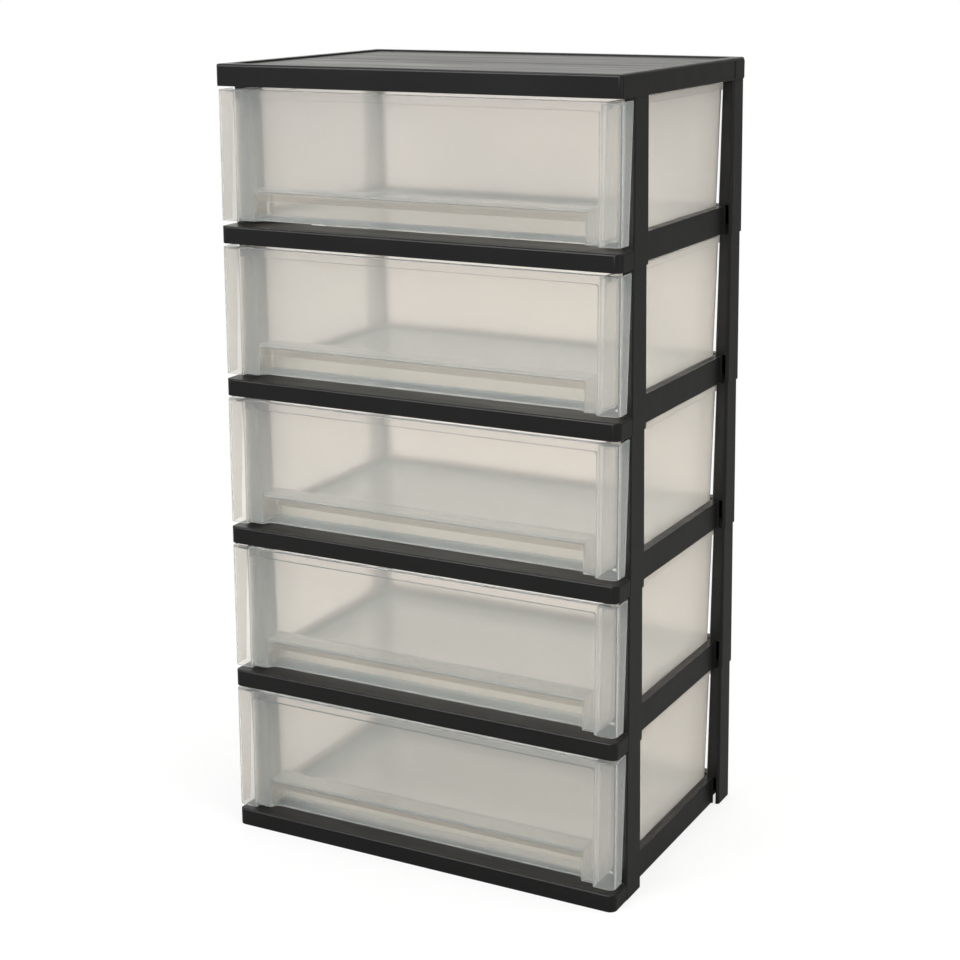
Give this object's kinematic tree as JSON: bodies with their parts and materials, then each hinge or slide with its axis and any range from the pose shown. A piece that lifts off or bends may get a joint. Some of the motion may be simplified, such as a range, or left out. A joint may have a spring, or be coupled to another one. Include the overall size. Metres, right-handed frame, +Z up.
{
  "type": "plastic drawer tower",
  "caption": "Free-standing tower of wide see-through plastic drawers that slide in stacked open black frames under a flat rimmed top.",
  "frame": {"origin": "on the floor, under the middle of the tower's bounding box", "axes": "+Z up, +X to the tower's right seen from the front, +Y to the back; the drawers pull out along -Y"},
  "size_m": [0.56, 0.396, 1.028],
  "materials": {
    "frame_black": "satin moulded",
    "drawer_smoke": "translucent moulded"
  },
  "bodies": {
    "tower": {"frame_1": "frame_black", "frame_2": "frame_black", "frame_3": "frame_black", "frame_4": "frame_black", "frame_5": "frame_black", "top_cover": "frame_black"},
    "drawer_1": {"drawer_1": "drawer_smoke"},
    "drawer_2": {"drawer_2": "drawer_smoke"},
    "drawer_3": {"drawer_3": "drawer_smoke"},
    "drawer_4": {"drawer_4": "drawer_smoke"},
    "drawer_5": {"drawer_5": "drawer_smoke"}
  },
  "joints": [
    {"name": "drawer_1_slide", "type": "slide", "parent": "tower", "child": "drawer_1", "axis": [0, -1, 0], "range_m": [0, 0.27]},
    {"name": "drawer_2_slide", "type": "slide", "parent": "tower", "child": "drawer_2", "axis": [0, -1, 0], "range_m": [0, 0.27]},
    {"name": "drawer_3_slide", "type": "slide", "parent": "tower", "child": "drawer_3", "axis": [0, -1, 0], "range_m": [0, 0.27]},
    {"name": "drawer_4_slide", "type": "slide", "parent": "tower", "child": "drawer_4", "axis": [0, -1, 0], "range_m": [0, 0.27]},
    {"name": "drawer_5_slide", "type": "slide", "parent": "tower", "child": "drawer_5", "axis": [0, -1, 0], "range_m": [0, 0.27]}
  ]
}
